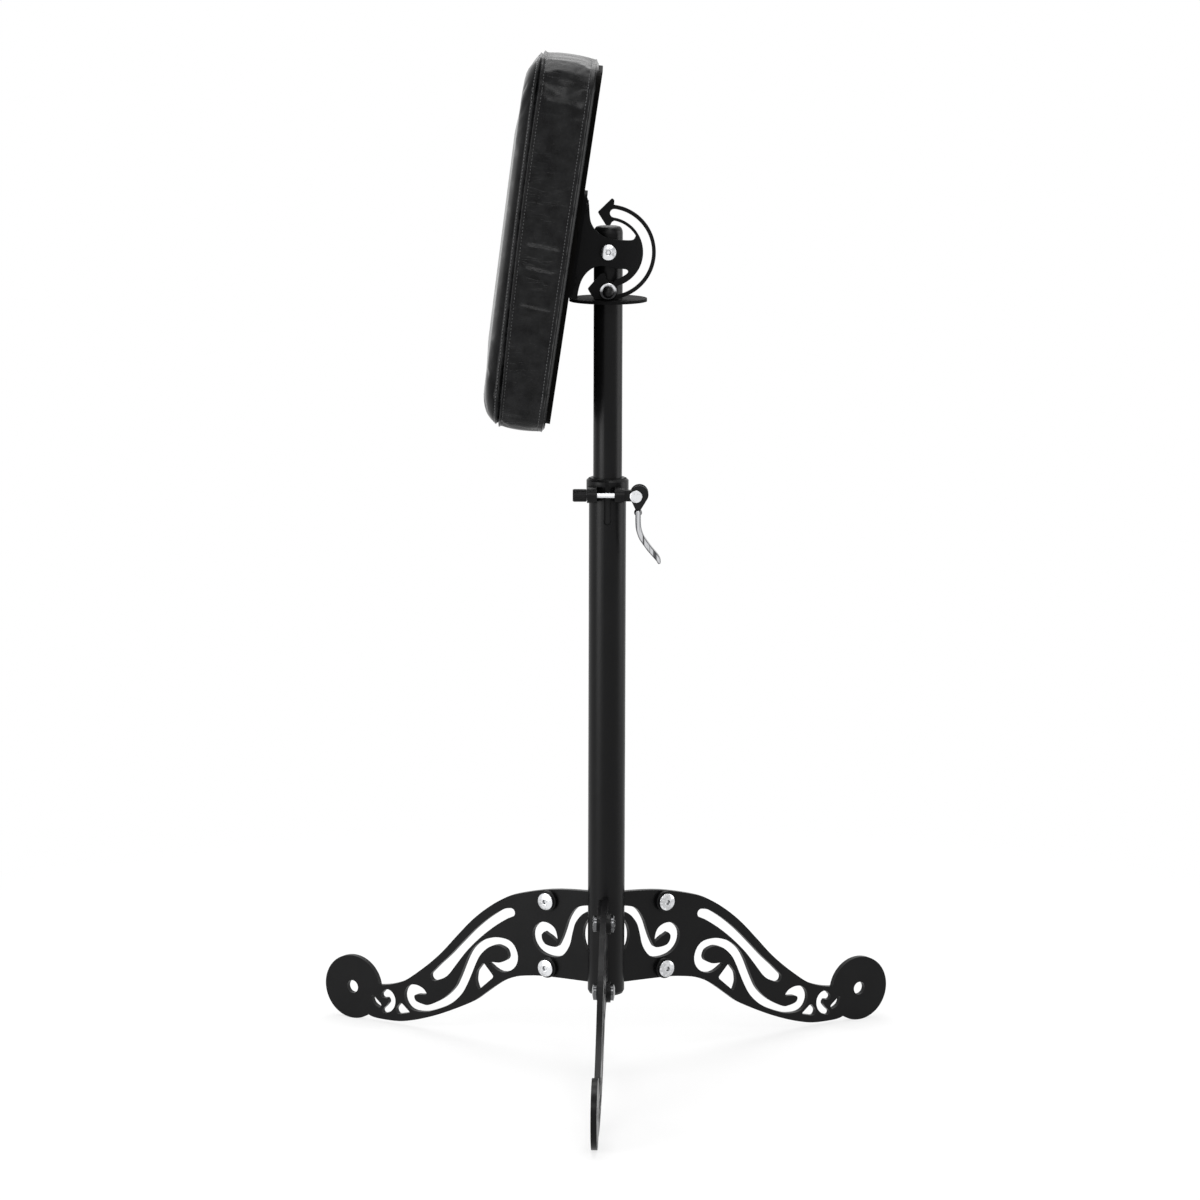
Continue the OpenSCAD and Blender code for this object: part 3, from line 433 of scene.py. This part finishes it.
def crownRing(share):  # share runs from 0 at the seam to 1 on the spine
    flat = spine + (rim - spine) * (1 - share)
    late = min(max((share - pad["lateFrom"]) / (1 - pad["lateFrom"]), 0), 1)
    parts = dict(side=facing[:, 0] ** 2, top=np.maximum(facing[:, 1], 0) ** 2,
                 bottom=np.minimum(facing[:, 1], 0) ** 2)
    power = sum(parts[name] * pad["shoulder"][name] for name in parts)
    first = sum(parts[name] * pad["shoulderPart"][name] for name in parts)
    rise = curve(pad["swell"], flat[:, 1]) * (first * (1 - (1 - share) ** power)
                                              + (1 - first) * late * late * (3 - 2 * late))
    return standing(flat, pad["band"], rise)


# How the cover settles as cloth round its foam, and how firmly each part of it is held, from 0 to 1
settling = dict(frames=20, mostMove=0.0013, firm=1.0, bandHold=0.015, crownHold=0.05,
                cloth=dict(quality=6, mass=0.25, tension_stiffness=18, compression_stiffness=18,
                           shear_stiffness=8, bending_stiffness=0.6, use_pressure=True,
                           uniform_pressure_force=4.0, shrink_min=-0.006, vertex_group_mass="held"))

# Coarse rings for the cloth, each with its place along the profile and its hold; at the back edge they are
# given as place, inset, height and outline
backEdge = [(-0.0141, 0, pad["pocket"], pocketRim), (-0.0063, 0, 0, pocketRim),
            (-0.0030, 0.0032, 0.0001, rim), (0.0, 0.0007, 0.0018, rim)]
coarse = [(place, bandRing(inset, height, outline), settling["firm"])
          for place, inset, height, outline in backEdge]
drawn = np.where(np.abs(facing[:, 1]) > pad["endFrom"], -pad["endBulge"], pad["drawIn"])
drawn = (np.roll(drawn, 2) + np.roll(drawn, -2) + np.roll(drawn, 4) + np.roll(drawn, -4) + drawn) / 5
for k in range(1, pad["bandSteps"]):
    share = k / pad["bandSteps"]
    height = pad["foot"] + (pad["band"] - pad["foot"]) * share
    ring = bandRing(drawn[:, None] * math.sin(math.pi * share), height)
    coarse.append((height - pad["foot"], ring, settling["bandHold"]))
seamAt = pad["band"] - pad["foot"]
coarse.append((seamAt, bandRing(0, pad["band"]), settling["firm"]))
seamRing = len(coarse) - 1
middleColumn = tallSteps // 2
for share in pad["crownShares"]:
    ring = crownRing(share)
    gap = float(np.linalg.norm(ring[middleColumn] - coarse[-1][1][middleColumn]))
    coarse.append((coarse[-1][0] + gap, ring, settling["crownHold"]))
along = np.array([place for place, ring, hold in coarse])
rings = np.array([ring for place, ring, hold in coarse])
holds = [hold for place, ring, hold in coarse]


def rimPoint(j, columns):
    grown = columns // len(rim)
    k, part = divmod(j, grown)
    first, second = rim[k % len(rim)], rim[(k + 1) % len(rim)]
    return first + (second - first) * part / grown


def closeCrown(ringCount, columns, tall):  # zips the last ring to a row of points on the spine
    base = ringCount * columns
    last = base - columns
    corner = (columns - 2 * tall) // 2
    faces = []
    right = [j for j in range(tall + 1) if abs(rimPoint(j, columns)[1]) <= spineReach + 1e-6]
    for number, j in enumerate(right[:-1]):
        mirror = tall + corner + (tall - j)
        faces.append((base + number, base + number + 1, last + j + 1, last + j))
        faces.append((base + number + 1, base + number, last + mirror % columns,
                      last + (mirror - 1) % columns))
    top, bottom = right[-1], right[0]
    topMirror = tall + corner + (tall - top)
    for j in range(top, topMirror):
        faces.append((base + len(right) - 1, last + j + 1, last + j))
    bottomMirror = tall + corner + (tall - bottom)
    for j in range(bottomMirror, columns + bottom):
        faces.append((base, last + (j + 1) % columns, last + j % columns))
    return faces, right


def tubeFaces(ringCount, columns):
    return [(i * columns + j, (i + 1) * columns + j, (i + 1) * columns + (j + 1) % columns,
             i * columns + (j + 1) % columns) for i in range(ringCount - 1) for j in range(columns)]


def closedSkin(grid, tall):  # the points and faces of a grid of rings, closed along the spine
    count, columns = grid.shape[:2]
    corner = (columns - 2 * tall) // 2
    zipped, right = closeCrown(count, columns, tall)
    onSpine = [(grid[-1][j] + grid[-1][(tall + corner + tall - j) % columns]) / 2 for j in right]
    points = [tuple(p) for p in grid.reshape(-1, 3)] + [tuple(p) for p in onSpine]
    return points, tubeFaces(count, columns) + zipped


def newPiece(name, points, faces):
    mesh = bpy.data.meshes.new(name)
    mesh.from_pydata(points, [], faces)
    mesh.update()
    piece = bpy.data.objects.new(name, mesh)
    bpy.context.scene.collection.objects.link(piece)
    return piece


def settleCover(rings, holds):
    count, columns = rings.shape[:2]
    points, faces = closedSkin(rings, tallSteps)
    draft = newPiece("coverDraft", points, faces)
    pins = draft.vertex_groups.new(name="held")
    for i, weight in enumerate(holds):
        pins.add(list(range(i * columns, (i + 1) * columns)), weight, "REPLACE")
    pins.add(list(range(count * columns, len(points))), holds[-1], "REPLACE")
    cloth = draft.modifiers.new("settle", "CLOTH")
    for key, value in settling["cloth"].items():
        setattr(cloth.settings, key, value)
    cloth.settings.effector_weights.gravity = 0
    cloth.collision_settings.use_collision = False
    scene = bpy.context.scene
    for number in range(1, settling["frames"] + 1):
        scene.frame_set(number)
    shaped = draft.evaluated_get(bpy.context.evaluated_depsgraph_get())
    flat = np.empty(len(points) * 3)
    shaped.data.vertices.foreach_get("co", flat)
    scene.frame_set(1)
    bpy.data.objects.remove(draft)
    moved = flat.reshape(-1, 3)[:count * columns].reshape(count, columns, 3) - rings
    length = np.maximum(np.linalg.norm(moved, axis=2, keepdims=True), 1e-9)
    print("cover moved up to", round(float(length.max()) * mmInMetre, 1), "mm, mean",
          round(float(length.mean()) * mmInMetre, 2), "mm")
    return rings + moved / length * settling["mostMove"] * np.tanh(length / settling["mostMove"])


settled = settleCover(rings, holds)
print("cover settled")


def finerColumns(rings):  # doubles the columns, each new one on the curve through its four neighbours
    before, after, further = np.roll(rings, 1, 1), np.roll(rings, -1, 1), np.roll(rings, -2, 1)
    between = (9 * (rings + after) - before - further) / 16
    both = np.empty((rings.shape[0], rings.shape[1] * 2, 3))
    both[:, 0::2] = rings
    both[:, 1::2] = between
    return both


def ringsAt(rings, places, wanted):  # rings anywhere on the profile, smooth but for the edge and the seam
    result = []
    sharp = {seamRing, 1}
    for place in wanted:
        k = int(np.clip(np.searchsorted(places, place) - 1, 0, len(places) - 2))
        here, there = places[k], places[k + 1]
        first, second = rings[k], rings[k + 1]
        step = there - here
        t = (place - here) / step
        before, beforeAt = first * 2 - second, 2 * here - there
        after, afterAt = second * 2 - first, 2 * there - here
        if k > 0 and k not in sharp:
            before, beforeAt = rings[k - 1], places[k - 1]
        if k + 2 < len(rings) and k + 1 not in sharp:
            after, afterAt = rings[k + 2], places[k + 2]
        leaving = (second - before) / (there - beforeAt) * step
        arriving = (after - first) / (afterAt - here) * step
        result.append((2 * t ** 3 - 3 * t ** 2 + 1) * first + (t ** 3 - 2 * t ** 2 + t) * leaving
                      + (3 * t ** 2 - 2 * t ** 3) * second + (t ** 3 - t ** 2) * arriving)
    return np.array(result)


# What the sewing does to the surface, in mm: each relief by its place from the seam or the back edge, its
# height and its width; then the places of the fine rings
sewing = dict(seam=[(0.3, -3.0, 0.85), (-2.3, 1.6, 1.15), (2.2, 0.6, 0.9)],
              frontStitch=(4.6, -0.4, 0.8), bandStitch=(-4.6, -0.3, 0.7),
              rearStitch=(6.2, -0.35, 0.8), rearLip=(1.6, 1.2, 0.8), pitch=3.4, threadWidth=0.95,
              nearSeam=[-9, -7.2, -5.6, -4.6, -3.8, -3.4, -3.0, -2.6, -2.1, -1.65, -1.3, -1.0, -0.7, -0.4,
                        -0.15, 0, 0.15, 0.4, 0.7, 1.05, 1.5, 2.1, 2.9, 3.7, 4.4, 4.8, 5.2, 5.6, 6.0, 6.8,
                        8.2],
              nearBack=[0.25, 0.6, 1.0, 1.6, 2.5, 3.6, 4.6, 5.1, 5.6, 6.1, 6.6, 7.8],
              plainFrom=10.5, plainToSeam=11.5, plainRings=14, crownFrom=9.5)
places = list(along[:len(backEdge)]) + [v / mmInMetre for v in sewing["nearBack"]]
places += list(np.linspace(sewing["plainFrom"] / mmInMetre, seamAt - sewing["plainToSeam"] / mmInMetre,
                           sewing["plainRings"]))
places += [seamAt + v / mmInMetre for v in sewing["nearSeam"]]
places += [v for v in along[seamRing + 1:] if v > seamAt + sewing["crownFrom"] / mmInMetre]
places = np.array(sorted(set(round(float(v), 6) for v in places)))
fine = ringsAt(finerColumns(settled), along, places)
columns = fine.shape[1]
fineFacing = np.repeat(facing, 2, axis=0)


def skinNormals(grid):
    across = np.roll(grid, -1, 1) - np.roll(grid, 1, 1)
    up = np.gradient(grid, axis=0)
    normal = np.cross(across, up)
    normal /= np.maximum(np.linalg.norm(normal, axis=2, keepdims=True), 1e-12)
    return normal


normals = skinNormals(fine)
outside = np.column_stack([np.zeros(columns), fineFacing])
bandRow = 10
if np.mean(np.sum(normals[bandRow] * outside, axis=1)) < 0:
    normals = -normals


def hump(at, centre, height, width):
    return height * np.exp(-((at - centre) / width) ** 2)


fromSeam = (places - seamAt) * mmInMetre
fromBack = places * mmInMetre
relief = sum(hump(fromSeam, *h) for h in sewing["seam"])
relief += hump(fromSeam, *sewing["frontStitch"]) + hump(fromSeam, *sewing["bandStitch"])
relief += hump(fromBack, *sewing["rearStitch"]) + hump(fromBack, *sewing["rearLip"])
relief[:len(backEdge)] = 0

# Soft creases across the band on the near side: place up the pad, from and to across the band as shares
# from the seam, slope, height in mm, width in mm
creases = [(57, 0.45, 0.95, 0.4, 0.9, 3.0), (42, 0.10, 0.95, 0.03, 0.5, 1.5),
           (24, 0.35, 0.75, 0.2, 0.6, 3.0), (-2, 0.10, 0.88, -0.05, 1.7, 3.6),
           (-25, 0.10, 0.85, -0.12, 1.7, 3.4), (-44, 0.30, 0.85, 0.02, 1.0, 2.6),
           (-63, 0.10, 0.90, -0.07, 1.5, 3.2), (-80, 0.15, 0.50, 0.05, 0.6, 2.4),
           (-97, 0.3, 0.92, 0.15, 0.5, 2.4), (143, 0.06, 0.98, -0.03, 1.0, 4.6),
           (139, 0.55, 0.97, 0.20, 0.7, 3.0), (118, 0.25, 0.8, 0.1, 0.5, 5.0),
           (92, 0.4, 0.9, -0.1, 0.5, 5.0)]
# The far side gets its own, drawn at random from these ranges
farCreases = dict(count=16, up=(-165, 172), start=(0.05, 0.4), reach=(0.3, 0.55), slope=(-0.4, 0.4),
                  height=(0.3, 0.8), width=(2, 4.5))
creasing = dict(fade=0.14, valley=0.5, valleyAt=1.6)
# The seam puckers at the corners: lengths in mm, and how evenly a corner faces both ways
puckering = dict(reach=7.0, height=0.13, pitch=2.6, corner=0.7, cornerSpread=0.3)
# The creases run out before the seam and the back edge, in mm, with a little left over
runOut = dict(seamFade=4, backFrom=3, backFade=4, left=0.25)
shareAcross = np.clip((seamAt - places) / seamAt, -1, 2)[:, None]
heightUp = fine[:, :, 2] * mmInMetre
near = fine[:, :, 1] < 0
far = ~near
wrinkled = np.zeros(fine.shape[:2])


def creaseLine(up, slope, middle):
    return up + slope * (shareAcross - middle) * pad["band"] * mmInMetre


def fadeAcross(start, end):
    return (np.clip((shareAcross - start) / creasing["fade"], 0, 1)
            * np.clip((end - shareAcross) / creasing["fade"], 0, 1))


for up, start, end, slope, height, width in creases:
    line = creaseLine(up, slope, (start + end) / 2)
    fade = fadeAcross(start, end)
    fade = fade * fade * (3 - 2 * fade)
    valley = np.exp(-((heightUp - line + width * creasing["valleyAt"]) / width) ** 2)
    mark = np.exp(-((heightUp - line) / width) ** 2) - creasing["valley"] * valley
    wrinkled += near * fade * mark * height
for number in range(farCreases["count"]):
    up = random.uniform(*farCreases["up"])
    start = random.uniform(*farCreases["start"])
    end = start + random.uniform(*farCreases["reach"])
    slope = random.uniform(*farCreases["slope"])
    height = random.uniform(*farCreases["height"])
    width = random.uniform(*farCreases["width"])
    line = creaseLine(up, slope, 0.5)
    wrinkled += far * fadeAcross(start, end) * np.exp(-((heightUp - line) / width) ** 2) * height
paceRow = fine[seamRing + 10]  # on the band
steps = np.linalg.norm(np.diff(paceRow, axis=0), axis=1)
aroundPad = np.concatenate([[0], np.cumsum(steps)]) * mmInMetre
pucker = np.exp(-(fromSeam[:, None] / puckering["reach"]) ** 2)
cornerness = np.abs(fineFacing).min(axis=1) - puckering["corner"]
atCorner = np.exp(-(cornerness / puckering["cornerSpread"]) ** 2)
wrinkled += (puckering["height"] * pucker * atCorner[None, :]
             * np.sin(aroundPad[None, :] / puckering["pitch"]))
bandOnly = (np.clip(-fromSeam / runOut["seamFade"], 0, 1)
            * np.clip((fromBack - runOut["backFrom"]) / runOut["backFade"], 0, 1))
wrinkled *= np.where(places > seamAt, 1.0, np.maximum(bandOnly, runOut["left"]))[:, None]
skin = fine + normals * (relief[:, None, None] + wrinkled[:, :, None]) / mmInMetre

points, faces = closedSkin(skin, tallSteps * 2)
faces.append(tuple(range(columns)))
padCover = newPiece("padCover", points, faces)
padCover.data.shade_smooth()
padCover.data.materials.append(finishes["cover"])
padCover.data.materials.append(finishes["crown"])
crownLine = seamAt + 0.0012
crownFace = int(np.argmax(places > crownLine)) * columns
for face in padCover.data.polygons:
    face.material_index = int(crownFace <= face.index < len(faces) - 1)
padCover.matrix_world = padPlace
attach(padCover, "head")
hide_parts("pad_cushion")
print("pad cover:", len(points), "points")


# One stitch is a short thread that dips at both ends: stations along it with its thickness there, as shares
stitching = dict(lengthShare=0.74, sides=6, lift=0.20, sink=0.5,
                 stations=[(-0.5, 0.25), (-0.36, 0.85), (0, 1.0), (0.36, 0.85), (0.5, 0.25)])


def stitchRow(name, place, pitch, width):
    ring = int(np.argmin(np.abs(places - place)))
    path, out = skin[ring], normals[ring]
    lengths = np.linalg.norm(np.roll(path, -1, 0) - path, axis=1)
    stops = np.concatenate([[0], np.cumsum(lengths)])
    total = stops[-1]
    count = int(total / pitch)
    long, sides, stations = pitch * stitching["lengthShare"], stitching["sides"], stitching["stations"]
    points, faces = [], []
    for number in range(count):
        centre = total * (number + 0.5) / count
        base = len(points)
        for offset, size in stations:
            s = (centre + offset * long) % total
            k = int(np.searchsorted(stops, s, side="right") - 1) % len(path)
            following = (k + 1) % len(path)
            t = (s - stops[k]) / lengths[k]
            spot = path[k] * (1 - t) + path[following] * t
            up = out[k] * (1 - t) + out[following] * t
            side = np.cross(up, path[following] - path[k])
            side /= np.linalg.norm(side)
            dip = width * (stitching["lift"] - stitching["sink"] * (abs(offset) * 2) ** 3)
            for q in range(sides):
                turn = 2 * math.pi * q / sides
                points.append(spot + up * (dip + size * width / 2 * math.sin(turn)) + side * (
                    size * width / 2 * math.cos(turn)))
        for i in range(len(stations) - 1):
            for q in range(sides):
                a, b = base + i * sides + q, base + i * sides + (q + 1) % sides
                faces.append((a, b, b + sides, a + sides))
        faces.append(tuple(base + q for q in range(sides - 1, -1, -1)))
        faces.append(tuple(base + (len(stations) - 1) * sides + q for q in range(sides)))
    row = newPiece(name, [tuple(p) for p in points], faces)
    row.data.shade_smooth()
    row.data.materials.append(finishes["thread"])
    row.matrix_world = padPlace
    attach(row, "head")
    return count


# Each row by its name, its place along the profile and its thread's thickness, as a share
stitchRows = [("frontStitches", seamAt + sewing["frontStitch"][0] / mmInMetre, 1.0),
              ("bandStitches", seamAt + sewing["bandStitch"][0] / mmInMetre, 0.7),
              ("rearStitches", sewing["rearStitch"][0] / mmInMetre, 0.8)]
stitches = sum(stitchRow(name, place, sewing["pitch"] / mmInMetre, sewing["threadWidth"] * share / mmInMetre)
               for name, place, share in stitchRows)
print("stitches sewn:", stitches)


# The floor glows white to the camera and to mirrors; near the stand it is part paper, which takes the shadow
stage = dict(floorSize=30.0, floorTone=0.92, floorSpread=0.02, floorCloud=(3, 2, 0.5), floorLift=0.72,
             shadowReach=0.55, fill=0.32, white=1.0)
half = stage["floorSize"] / 2
floor = newPiece("studioFloor", [(-half, -half, 0), (half, -half, 0), (half, half, 0), (-half, half, 0)],
                 [(0, 1, 2, 3)])
floorFinish, sheet = newFinish("studioPaper")
lift = sheet.raysSeen()
tone = stage["floorTone"] + sheet.noise(*stage["floorCloud"]) * stage["floorSpread"]
away = sheet.add("VectorMath", {"operation": "LENGTH"}, {0: sheet.add("TexCoord", out=3)}, out=1)
fromStand = ((away - stage["shadowReach"]) / stage["shadowReach"]).clamped()
shadowPart = (1 - stage["floorLift"]) * (1 - fromStand)
paper = sheet.add("BsdfDiffuse", {}, {0: sheet.add("CombineColor", {}, {0: tone, 1: tone, 2: tone})})
glow = sheet.add("Emission", {}, {0: (1, 1, 1, 1), 1: stage["white"]})
sheet.finish(sheet.add("MixShader", {}, {0: lift * (1 - shadowPart), 1: paper, 2: glow}))
floor.data.materials.append(floorFinish)

world = bpy.data.worlds.new("studioAir")
bpy.context.scene.world = world
world.use_nodes = True
sheet = NodeSheet(world.node_tree)
seen = sheet.raysSeen()
soft = sheet.add("Background", {}, {0: (1, 1, 1, 1), 1: stage["fill"]})
plain = sheet.add("Background", {}, {0: (1, 1, 1, 1), 1: stage["white"]})
sheet.finish(sheet.add("MixShader", {}, {0: seen, 1: soft, 2: plain}), "OutputWorld")

# Each softbox by where it stands, where it points, its size in metres and its power
softboxes = dict(
    left=dict(at=(-1.74, -1.36, 0.80), to=(0, 0, 0.72), size=(1.15, 1.55), watts=34),
    right=dict(at=(2.30, 0.15, 0.80), to=(0, 0, 0.70), size=(1.30, 1.55), watts=16),
    behind=dict(at=(-0.10, 1.50, 2.80), to=(0, 0, 0.90), size=(2.00, 1.50), watts=38),
    front=dict(at=(0.40, -2.60, 2.25), to=(0, 0, 0.85), size=(1.30, 0.80), watts=20),
    overhead=dict(at=(-0.10, 0.00, 3.00), to=(-0.10, 0, 0.90), size=(1.50, 1.20), watts=34))
for name, box in softboxes.items():
    lamp = bpy.data.lights.new(name + "Softbox", "AREA")
    lamp.shape = "RECTANGLE"
    lamp.size, lamp.size_y = box["size"]
    lamp.energy = box["watts"]
    holder = bpy.data.objects.new(name + "Softbox", lamp)
    holder.location = box["at"]
    holder.visible_camera = False
    holder.rotation_euler = (Vector(box["to"]) - Vector(box["at"])).to_track_quat("-Z", "Y").to_euler()
    bpy.context.scene.collection.objects.link(holder)

# The photograph's camera; focal length, picture middle and side in its pixels
shot = dict(distance=4.1992, height=1.2091, dip=-0.1531, roll=0.0032, focal=4144.96, middle=(607.41, 528.0),
            side=1200, sensor=36, clipEnd=60)
camera = bpy.data.cameras.new("standCamera")
camera.sensor_width = shot["sensor"]
camera.lens = shot["sensor"] * shot["focal"] / shot["side"]
camera.shift_x = (shot["side"] / 2 - shot["middle"][0]) / shot["side"]
camera.shift_y = (shot["middle"][1] - shot["side"] / 2) / shot["side"]
camera.clip_end = shot["clipEnd"]
viewer = bpy.data.objects.new("standCamera", camera)
viewer.matrix_world = (Matrix.Translation((0, -shot["distance"], shot["height"]))
                       @ Matrix.Rotation(math.pi / 2 + shot["dip"], 4, "X")
                       @ Matrix.Rotation(shot["roll"], 4, "Z"))
bpy.context.scene.collection.objects.link(viewer)
bpy.context.scene.camera = viewer
bpy.context.scene.view_settings.view_transform = "Standard"
print("light and camera set")
